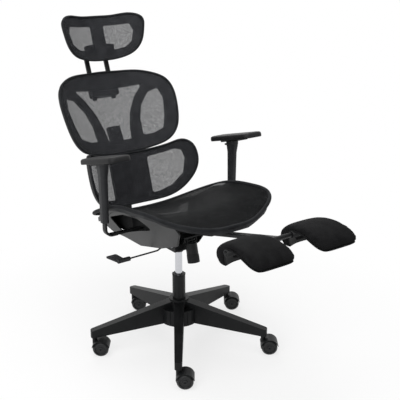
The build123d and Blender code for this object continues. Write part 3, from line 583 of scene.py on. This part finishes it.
def screws(name, body, spots, scale=1.0):
    """Screw heads at (point, direction) pairs, riding on one body."""
    mesh = new_mesh(name, [p for p, _ in spots], [])
    facing = mesh.attributes.new("facing", "FLOAT_VECTOR", "POINT")
    for i, (_, way) in enumerate(spots):
        facing.data[i].vector = way
    head = screw_head()
    piece = run_tree(name, mesh, screw_tree(),
                     {"Head": head, "Scale": scale, "Steel": zinc_plated_steel()})
    bpy.data.objects.remove(head)
    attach(piece, body)
    return piece


def stretched_mesh(name, node, body, shape, rise=0.6, roll=3.0):
    """Mesh cloth pulled over a wrapped frame, with the edge that turns round it."""
    centre = (shape["ahead"], shape["height"], shape["lean"])
    wrap = shape["wrap"] + rise

    def place(x, z):
        return leaning(x, -shape["wrap"] + sqrt(wrap * wrap - x * x), z, *centre)

    def stretch(x, z):
        return (wrap * asin(x / wrap) * MM, z * MM)
    mesh, line = ringed_sheet(name, shape["outline"], place, stretch)
    mesh.materials.append(back_weave())
    piece = new_piece(name, mesh)
    wall = piece.modifiers.new("cloth", "SOLIDIFY")
    wall.thickness = 0.8 * MM
    wall.offset = 0.0
    apply_modifiers(piece)
    edge = edge_roll(name + "_edge", line, roll, frame_cloth())
    for part in (piece, edge):
        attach(part, body)
    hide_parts(node)
    xs = [v[0] for v in shape["outline"]]
    zs = [v[1] for v in shape["outline"]]
    return piece


def frame_cloth():
    # The turned edge of the mesh, several layers thick, so it lets no light through.
    return woven("turned_mesh_edge", "#1a1b1d", "#242527", *WEAVE, 1.0, 0.03, 0.1)


def along(stations, ahead, column):
    """Smooth value of one column of the seat's stations."""
    a = np.array([s[0] for s in stations], float)
    v = np.array([s[column] for s in stations], float)
    n = len(a)
    grid, right = np.eye(n), np.zeros(n)
    for i in range(1, n - 1):
        before, after = a[i] - a[i - 1], a[i + 1] - a[i]
        grid[i, i - 1:i + 2] = before, 2 * (before + after), after
        right[i] = 6 * ((v[i + 1] - v[i]) / after - (v[i] - v[i - 1]) / before)
    bend = np.linalg.solve(grid, right)
    i = int(min(max(np.searchsorted(a, ahead) - 1, 0), n - 2))
    h = a[i + 1] - a[i]
    s, t = (a[i + 1] - ahead) / h, (ahead - a[i]) / h
    return spline_value(s, t, v[i:i + 2], bend[i:i + 2], h)


def seat_height(x, ahead):
    """Height of the seat cloth in the seat's frame, an arc across each station."""
    side, middle = along(SEAT_STATIONS, ahead, 1), along(SEAT_STATIONS, ahead, 2)
    half = SEAT_ARC_HALF
    rise = side - middle
    bow = (half * half + rise * rise) / (2 * rise)
    return middle + bow - sqrt(bow * bow - x * x)


def chair_point(x, ahead, height):
    return Vector((x * MM, -ahead * MM, height * MM))


def calf_point(sign, along_arc, aside, depth, under=0.0):
    """A point of the calf cushion: both ways from -1 to 1, depth 0 outside to 1 inside, and as many
    millimetres under that."""
    p = along_arc * (1 - 0.08 * abs(aside) ** 5)
    q = aside * (1 - 0.12 * abs(along_arc) ** 5)
    rear = max(0.0, -along_arc) * abs(aside) ** 3
    upper = [along(CALF_STATIONS, (1 + p) / 2, column) for column in (1, 2)]
    lower = [along(CALF_STATIONS, (1 + p) / 2, column) for column in (3, 4)]
    thick = hypot(lower[0] - upper[0], lower[1] - upper[1])
    share = depth + under / thick
    ahead, height = [u + (v - u) * share for u, v in zip(upper, lower)]
    return chair_point(sign * CALF_SIDE + q * CALF_HALF, ahead + 20 * rear, height - 8 * rear)


def closed_slab(name, place, around, across, levels):
    """Closed form between the first and last level of a grid that place() puts in space."""
    wide, size = across + 1, (around + 1) * (across + 1)
    verts = [place(2 * i / around - 1, 2 * j / across - 1, level)
             for level in levels for i in range(around + 1) for j in range(across + 1)]
    last = len(levels) - 1
    faces = []
    for i in range(around):
        for j in range(across):
            ring = (i * wide + j, (i + 1) * wide + j, (i + 1) * wide + j + 1, i * wide + j + 1)
            faces.append(ring)
            faces.append(tuple(last * size + v for v in reversed(ring)))
    border = border_steps(around, across)
    for k in range(last):
        for (i, j), (m, n) in zip(border, border[1:] + border[:1]):
            faces.append((k * size + i * wide + j, k * size + m * wide + n,
                          (k + 1) * size + m * wide + n, (k + 1) * size + i * wide + j))
    return face_outward(new_mesh(name, verts, faces))


def border_steps(around, across):
    steps = [(i, 0) for i in range(around)] + [(around, j) for j in range(across)]
    steps += [(i, across) for i in range(around, 0, -1)]
    return steps + [(0, j) for j in range(across, 0, -1)]


def calf_pad(side, sign):
    """Arched cushion that a cloth run swells, with a welt along its lower edge."""
    around, across = 44, 30
    mesh = closed_slab(f"calf_cushion_{side}", lambda p, q, d: calf_point(sign, p, q, d), around,
                       across,
                       (0.0, 0.5, 1.0))
    mesh.materials.append(knitted_cloth())
    piece = new_piece(f"calf_cushion_{side}", mesh)
    swell(piece, 3.0)
    keep_clear(piece, SLEEVE_RADIUS)
    seam = []
    for i, j in border_steps(around, across):
        p, q = 2 * i / around - 1, 2 * j / across - 1
        pull = 1 - 0.04 * abs(p * q) ** 6
        point = calf_point(sign, 0.985 * pull * p, 0.97 * pull * q, 0.96)
        seam.append(clear_of_tube(point, SLEEVE_RADIUS))
    welt = edge_roll(f"calf_welt_{side}", seam, 2.4, knitted_cloth())
    for part in (piece, welt):
        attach(part, f"calf_rest_{side}")
    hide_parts(f"footrest_pad_{side}")


def calf_shell(side, sign):
    """Moulded plate under the cushion and the sleeve that turns on the cross tube."""
    def place(p, q, depth):
        return calf_point(sign, 0.96 * p, 0.93 * q, 1.0, 3.0 * depth - 0.8)
    plate = closed_slab(f"calf_shell_{side}", place, 40, 12, (0.0, 1.0))
    plate.materials.append(frame_polypropylene())
    piece = new_piece(f"calf_shell_{side}", plate)
    keep_clear(piece, CROSS_TUBE_CLEAR)
    ends = (sign * CALF_SIDE - CALF_HALF - 2, sign * CALF_SIDE + CALF_HALF + 2)
    rings = ((SLEEVE_RADIUS - 0.6, 0), (SLEEVE_RADIUS - 0.6, 1), (8.1, 1), (8.1, 0))
    verts, faces, count = [], [], 40
    for radius, end in rings:
        for k in range(count):
            a = 2 * pi * k / count
            verts.append(chair_point(ends[end], SLEEVE[0] + radius * cos(a),
                                     SLEEVE[1] + radius * sin(a)))
    for r in range(4):
        for k in range(count):
            m, n = (k + 1) % count, (r + 1) % 4
            faces.append((r * count + k, r * count + m, n * count + m, n * count + k))
    sleeve_mesh = face_outward(new_mesh(f"calf_sleeve_{side}", verts, faces))
    sleeve_mesh.materials.append(frame_polypropylene())
    sleeve = new_piece(f"calf_sleeve_{side}", sleeve_mesh)
    for part in (piece, sleeve):
        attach(part, f"calf_rest_{side}")
    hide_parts(f"footrest_shell_{side}")
    spots = []
    for p in (-0.62, 0.62):
        for q in (-0.6, 0.6):
            spot, above = calf_point(sign, p, q, 1.0, 3.0), calf_point(sign, p, q, 0.5)
            spots.append((spot, (spot - above).normalized()))
    screws(f"calf_screws_{side}", f"calf_rest_{side}", spots, 1.0)


def clear_of_tube(point, radius):
    """The point, or the nearest to it that lies outside a radius round the cross tube."""
    x, ahead, height = point[0] / MM, -point[1] / MM, point[2] / MM
    da, dh = ahead - SLEEVE[0], height - SLEEVE[1]
    gap = hypot(da, dh)
    if gap >= radius:
        return point
    return chair_point(x, SLEEVE[0] + da * radius / gap, SLEEVE[1] + dh * radius / gap)


def keep_clear(piece, radius):
    """Presses a piece of the calf rest clear of a radius round the cross tube."""
    for vertex in piece.data.vertices:
        vertex.co = clear_of_tube(vertex.co, radius)


def swell(piece, most_mm, pressure=4.0, voxel=0.005):
    """Remeshes a closed form, swells it with a short cloth run and caps the growth."""
    remesh = piece.modifiers.new("even", "REMESH")
    remesh.mode = "VOXEL"
    remesh.voxel_size = voxel
    remesh.use_smooth_shade = True
    apply_modifiers(piece)
    start = np.array([v.co[:] for v in piece.data.vertices])
    cloth = piece.modifiers.new("swell", "CLOTH")
    cloth.settings.use_pressure = True
    cloth.settings.uniform_pressure_force = pressure
    cloth.settings.quality = 5
    cloth.settings.effector_weights.gravity = 0.0
    scene = bpy.context.scene
    for step in range(1, 21):
        scene.frame_set(step)
    apply_modifiers(piece)
    scene.frame_set(1)
    end = np.array([v.co[:] for v in piece.data.vertices])
    move = end - start
    size = np.linalg.norm(move, axis=1, keepdims=True)
    move *= np.minimum(1.0, most_mm * MM / np.maximum(size, 1e-9))
    for vertex, place in zip(piece.data.vertices, start + move):
        vertex.co = place
    smooth = piece.modifiers.new("even_out", "SMOOTH")
    smooth.factor = 0.5
    smooth.iterations = 4
    finer = piece.modifiers.new("finer", "SUBSURF")
    finer.levels = 1
    finer.render_levels = 1
    apply_modifiers(piece)
    for face in piece.data.polygons:
        face.use_smooth = True


def arm_pad(side, sign):
    """Foam pad: a slab with rounded corners, a crowned top and a thin parting line."""
    length, width, corner = 245.0, 84.0, 24.0
    loop = []
    for cx, cz, first in ((1, 1, 0), (-1, 1, 90), (-1, -1, 180), (1, -1, 270)):
        for k in range(9):
            a = radians(first + k * 90 / 8)
            loop.append((cx * (width / 2 - corner) + corner * cos(a),
                         cz * (length / 2 - corner) + corner * sin(a)))
    # inset from the outline and height above the pad's underside
    levels = ((3.0, 0.0), (1.0, 0.6), (0.2, 2.5), (0.0, 9.0), (0.4, 13.5), (2.0, 17.2), (5.5, 19.4),
              (12.0, 20.4), (24.0, 21.0), (38.0, 21.3))
    verts = []
    for inset, rise in levels:
        for x, y in loop:
            sx, sy = 1 - inset / (width / 2), 1 - inset / (length / 2)
            verts.append(leaning(sign * 289.0 + x * sx, y * sy - 24.0, 6.7 + rise, -43, 760,
                                 SEAT_LEAN))
    faces = ring_faces(len(levels), len(loop))
    mesh = face_outward(new_mesh(f"arm_pad_top_{side}", verts, faces))
    mesh.materials.append(foam_skin())
    piece = new_piece(f"arm_pad_top_{side}", mesh)
    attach(piece, f"arm_pad_{side}")
    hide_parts(f"arm_pad_{side}")


# ---- operators ----------------------------------------------------------------
class ChairSettings(bpy.types.PropertyGroup):
    edge_roll: bpy.props.FloatProperty(
        name="Edge roll", description="Radius of the turned edge of the back meshes",
        default=0.0046, min=0.001, max=0.006, unit="LENGTH")
    seat_roll: bpy.props.FloatProperty(
        name="Seat roll", description="Radius of the turned edge of the seat mesh",
        default=0.007, min=0.001, max=0.009, unit="LENGTH")
    mesh_dark: bpy.props.FloatVectorProperty(
        name="Mesh, dark", description="Darker tone of the back meshes", subtype="COLOR",
        size=4, min=0.0, max=1.0, default=colour("#2b2c2f"))
    mesh_light: bpy.props.FloatVectorProperty(
        name="Mesh, light", description="Lighter tone of the back meshes", subtype="COLOR",
        size=4, min=0.0, max=1.0, default=colour("#3a3b3e"))
    nylon_dark: bpy.props.FloatVectorProperty(
        name="Base, dark", description="Darker tone of the star base", subtype="COLOR",
        size=4, min=0.0, max=1.0, default=colour("#101112"))
    nylon_light: bpy.props.FloatVectorProperty(
        name="Base, light", description="Lighter tone of the star base", subtype="COLOR",
        size=4, min=0.0, max=1.0, default=colour("#18191a"))
    lens: bpy.props.FloatProperty(
        name="Lens", description="Focal length of the camera", default=66.99, min=20, max=200,
        unit="CAMERA")


class CHAIR_OT_hard_parts(bpy.types.Operator):
    """Gives every hard part its finish"""
    bl_idname = "chair.hard_parts"
    bl_label = "Finish the hard parts"

    def execute(self, context):
        for name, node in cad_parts.items():
            for start, finish in FINISHES:
                if name.startswith(start):
                    dress(node, finish)
        return {"FINISHED"}


class CHAIR_OT_stretched_meshes(bpy.types.Operator):
    """Stretches the mesh cloth over the back, the lumbar wing and the headrest"""
    bl_idname = "chair.stretched_meshes"
    bl_label = "Stretch the back meshes"

    def execute(self, context):
        roll = context.scene.chair_settings.edge_roll / MM
        stretched_mesh("back_cloth", "back_mesh", "upper_back", BACK, roll=roll)
        stretched_mesh("lumbar_cloth", "lumbar_mesh", "lumbar", LUMBAR, roll=roll)
        stretched_mesh("headrest_cloth", "headrest_mesh", "headrest", HEAD,
                       roll=roll)
        return {"FINISHED"}


class CHAIR_OT_seat_cloth(bpy.types.Operator):
    """Stretches the heavier mesh over the seat rim"""
    bl_idname = "chair.seat_cloth"
    bl_label = "Stretch the seat mesh"

    def execute(self, context):
        def place(x, ahead):
            return seat_point(x, ahead, seat_height(x, ahead))

        def stretch(x, ahead):
            return (x * MM, ahead * MM)
        mesh, line = ringed_sheet("seat_cloth", SEAT_OUTLINE, place, stretch, rings=30, around=200)
        mesh.materials.append(seat_weave())
        piece = new_piece("seat_cloth", mesh)
        wall = piece.modifiers.new("cloth", "SOLIDIFY")
        wall.thickness = 1.0 * MM
        wall.offset = 0.0
        apply_modifiers(piece)
        roll = context.scene.chair_settings.seat_roll / MM
        edge = edge_roll("seat_cloth_edge", line, roll, frame_cloth())
        for part in (piece, edge):
            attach(part, "seat")
        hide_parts("seat_mesh")
        return {"FINISHED"}


class CHAIR_OT_calf_pads(bpy.types.Operator):
    """Makes the two arched calf cushions and their shells"""
    bl_idname = "chair.calf_pads"
    bl_label = "Make the calf rests"

    def execute(self, context):
        for side, sign in (("left", 1), ("right", -1)):
            calf_pad(side, sign)
            calf_shell(side, sign)
        return {"FINISHED"}


class CHAIR_OT_arm_pads(bpy.types.Operator):
    """Makes the two foam arm pads"""
    bl_idname = "chair.arm_pads"
    bl_label = "Make the arm pads"

    def execute(self, context):
        arm_pad("left", 1)
        arm_pad("right", -1)
        return {"FINISHED"}


def hub_webs():
    """Curved webs that close the hub between the legs, each with a flat cover and two ribs."""
    half_turn, gauge = radians(36), 4.0
    open_half = radians(36 - LEG_HALF_ANGLE)
    outer, low, high = 73.0, 93.0, 150.0
    verts, faces = [], []

    def panel(r0, r1, z0, z1, a0, a1, steps):
        base = len(verts)
        for k in range(steps + 1):
            a = half_turn + a0 + (a1 - a0) * k / steps
            for r, z in ((r0, z0), (r1, z0), (r1, z1), (r0, z1)):
                verts.append((r * cos(a) * MM, r * sin(a) * MM, z * MM))
        for k in range(steps):
            for j in range(4):
                m = (j + 1) % 4
                faces.append((base + 4 * k + j, base + 4 * k + m, base + 4 * k + 4 + m,
                              base + 4 * k + 4 + j))
        faces.append(tuple(base + j for j in range(4)))
        faces.append(tuple(base + 4 * steps + j for j in reversed(range(4))))
    panel(outer - gauge, outer, low, high, -open_half, open_half, 16)
    panel(38.1, outer, high, high + gauge, -open_half, open_half, 16)
    for a in (-radians(8), radians(8)):
        panel(outer, outer + 2.2, low + 1, high + gauge, a - 0.014, a + 0.014, 1)
    mesh = face_outward(new_mesh("hub_webs", verts, faces))
    piece = run_tree("hub_webs", mesh, around_tree(),
                     {"Count": 5, "Heading": radians(LEG_HEADING), "Finish": glass_filled_nylon()})
    for face in piece.data.polygons:
        face.use_smooth = False
    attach(piece, "base")


def tub_linings():
    """Near-black wall on each side inside the tub, put in as painted shade that darkens the pocket
    behind its side window.
    """
    # aside, ahead, bottom and top in the seat's frame
    posts = ((136, 108, 60, 134), (138, 0, 44, 140), (138, -120, 46, 132), (176, -180, 90, 134),
             (210, -234, 124, 136))
    for side, sign in (("left", 1), ("right", -1)):
        verts, faces = [], []
        for aside, ahead, bottom, top in posts:
            verts += [seat_point(sign * (aside + out), ahead, height)
                      for out, height in ((-1.5, bottom), (1.5, bottom), (1.5, top), (-1.5, top))]
        for k in range(len(posts) - 1):
            for j in range(4):
                m = (j + 1) % 4
                faces.append((4 * k + j, 4 * k + m, 4 * k + 4 + m, 4 * k + 4 + j))
        faces += [(0, 1, 2, 3), tuple(4 * len(posts) - 1 - j for j in range(4))]
        mesh = face_outward(new_mesh(f"tub_lining_{side}", verts, faces))
        mesh.materials.append(frame_polypropylene())
        piece = new_piece(f"tub_lining_{side}", mesh, smooth=False)
        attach(piece, "seat")


class CHAIR_OT_tub_shade_walls(bpy.types.Operator):
    """Puts in the near-black walls inside the seat tub, painted shade for the pocket behind each
    side window
    """
    bl_idname = "chair.tub_linings"
    # The walls are painted shade for the pocket inside the tub.
    bl_label = "Line the tub"

    def execute(self, context):
        tub_linings()
        return {"FINISHED"}


class CHAIR_OT_hub_webs(bpy.types.Operator):
    """Closes the hub of the star base between its legs"""
    bl_idname = "chair.hub_webs"
    bl_label = "Close the hub"

    def execute(self, context):
        hub_webs()
        return {"FINISHED"}


class CHAIR_OT_fasteners(bpy.types.Operator):
    """Puts in the bolts that hold the arm bars to the tub"""
    bl_idname = "chair.fasteners"
    bl_label = "Put in the bolts"

    def execute(self, context):
        up = leaning(0, 0, 1000, 0, 0, SEAT_LEAN)
        spots = [(seat_point(side * x, -66.1, 84.9), up) for side in (1, -1) for x in (100, 125)]
        screws("arm_bolts", "seat", spots, 1.5)
        return {"FINISHED"}


class CHAIR_OT_stage(bpy.types.Operator):
    """Sets the floor, the lamps and the camera"""
    bl_idname = "chair.stage"
    bl_label = "Set the stage"

    def execute(self, context):
        scene = context.scene
        scene.view_settings.view_transform = "Standard"
        floor_mesh = new_mesh("floor", [(-20, -20, 0), (20, -20, 0), (20, 20, 0), (-20, 20, 0)],
                              [(0, 1, 2, 3)])
        floor_mesh.materials.append(pale_floor())
        new_piece("floor", floor_mesh, smooth=False)
        white_world(scene)
        for name, spot, aim, size, power in LAMPS:
            lamp = bpy.data.lights.new(name, "AREA")
            lamp.size = size
            lamp.energy = power
            holder = bpy.data.objects.new(name, lamp)
            holder.location = spot
            holder.rotation_euler = (Vector(aim) - Vector(spot)).to_track_quat("-Z", "Y").to_euler()
            context.collection.objects.link(holder)
        camera = bpy.data.cameras.new("camera")
        camera.lens = scene.chair_settings.lens
        camera.sensor_width = 36.0
        holder = bpy.data.objects.new("camera", camera)
        holder.location = CAMERA_AT
        down = radians(CAMERA_DOWN)
        way = Vector((CAMERA_WAY[0] * cos(down), CAMERA_WAY[1] * cos(down), -sin(down)))
        holder.rotation_euler = way.to_track_quat("-Z", "Y").to_euler()
        context.collection.objects.link(holder)
        scene.camera = holder
        return {"FINISHED"}


def pale_floor():
    # White painted studio floor: its soft shadow stays under the chair and fades to plain white.
    made, tree = blank("studio_paint")
    if tree is None:
        return made
    paint = add(tree, "ShaderNodeBsdfDiffuse", (), {"Color": colour("#f4f4f4")})
    plain = add(tree, "ShaderNodeEmission", (), {"Color": colour("#ffffff"), "Strength": 1.0})
    away = add(tree, "ShaderNodeVectorMath", {"operation": "LENGTH"},
               links={0: add(tree, "ShaderNodeTexCoord").outputs["Object"]})
    fade = add(tree, "ShaderNodeMapRange", {"interpolation_type": "SMOOTHSTEP"},
               {"From Min": 0.35, "From Max": 1.3, "To Min": 0.75, "To Max": 1.0},
               {"Value": away.outputs["Value"]})
    share = add(tree, "ShaderNodeMath", {"operation": "MULTIPLY"}, (),
                {0: seen_rays(tree), 1: fade.outputs["Result"]})
    both = add(tree, "ShaderNodeMixShader", (), (),
               {"Fac": share.outputs[0], 1: paint.outputs["BSDF"], 2: plain.outputs["Emission"]})
    add(tree, "ShaderNodeOutputMaterial", links={"Surface": both.outputs["Shader"]})
    return made


def seen_rays(tree):
    """1 for what the camera, a reflection or clear plastic shows of the background, else 0."""
    ray = add(tree, "ShaderNodeLightPath")
    first = add(tree, "ShaderNodeMath", {"operation": "MAXIMUM"}, (),
                {0: ray.outputs["Is Camera Ray"], 1: ray.outputs["Is Glossy Ray"]})
    both = add(tree, "ShaderNodeMath", {"operation": "MAXIMUM"}, (),
               {0: first.outputs[0], 1: ray.outputs["Is Transmission Ray"]})
    return both.outputs[0]


def white_world(scene):
    """White to the camera and in reflections, a soft even grey as a light."""
    world = bpy.data.worlds.new("studio")
    world.use_nodes = True
    tree = world.node_tree
    tree.nodes.clear()
    soft = add(tree, "ShaderNodeBackground", (), {"Color": colour("#ffffff"), "Strength": 0.35})
    plain = add(tree, "ShaderNodeBackground", (), {"Color": colour("#ffffff"), "Strength": 1.0})
    both = add(tree, "ShaderNodeMixShader", (), (),
               {"Fac": seen_rays(tree), 1: soft.outputs["Background"],
                2: plain.outputs["Background"]})
    add(tree, "ShaderNodeOutputWorld", links={"Surface": both.outputs["Shader"]})
    scene.world = world


class CHAIR_PT_panel(bpy.types.Panel):
    """Lists the steps that dress the chair"""
    bl_idname = "CHAIR_PT_panel"
    bl_label = "Reclining chair"
    bl_space_type = "VIEW_3D"
    bl_region_type = "UI"
    bl_category = "Chair"

    def draw(self, context):
        settings = context.scene.chair_settings
        for name in ("edge_roll", "seat_roll", "mesh_dark", "mesh_light", "nylon_dark",
                     "nylon_light", "lens"):
            self.layout.prop(settings, name)
        for step in STEPS:
            self.layout.operator(step.bl_idname)


STEPS = (CHAIR_OT_hard_parts, CHAIR_OT_stretched_meshes, CHAIR_OT_seat_cloth, CHAIR_OT_calf_pads,
         CHAIR_OT_arm_pads, CHAIR_OT_tub_shade_walls, CHAIR_OT_hub_webs, CHAIR_OT_fasteners,
         CHAIR_OT_stage)
CLASSES = (ChairSettings, *STEPS, CHAIR_PT_panel)


def register():
    for kind in CLASSES:
        bpy.utils.register_class(kind)
    bpy.types.Scene.chair_settings = bpy.props.PointerProperty(type=ChairSettings)


def unregister():
    del bpy.types.Scene.chair_settings
    for kind in reversed(CLASSES):
        bpy.utils.unregister_class(kind)


def main():
    register()
    bpy.ops.chair.hard_parts()
    bpy.ops.chair.stretched_meshes()
    bpy.ops.chair.seat_cloth()
    bpy.ops.chair.calf_pads()
    bpy.ops.chair.arm_pads()
    bpy.ops.chair.tub_linings()
    bpy.ops.chair.hub_webs()
    bpy.ops.chair.fasteners()
    bpy.ops.chair.stage()


if __name__ == "__main__":
    main()
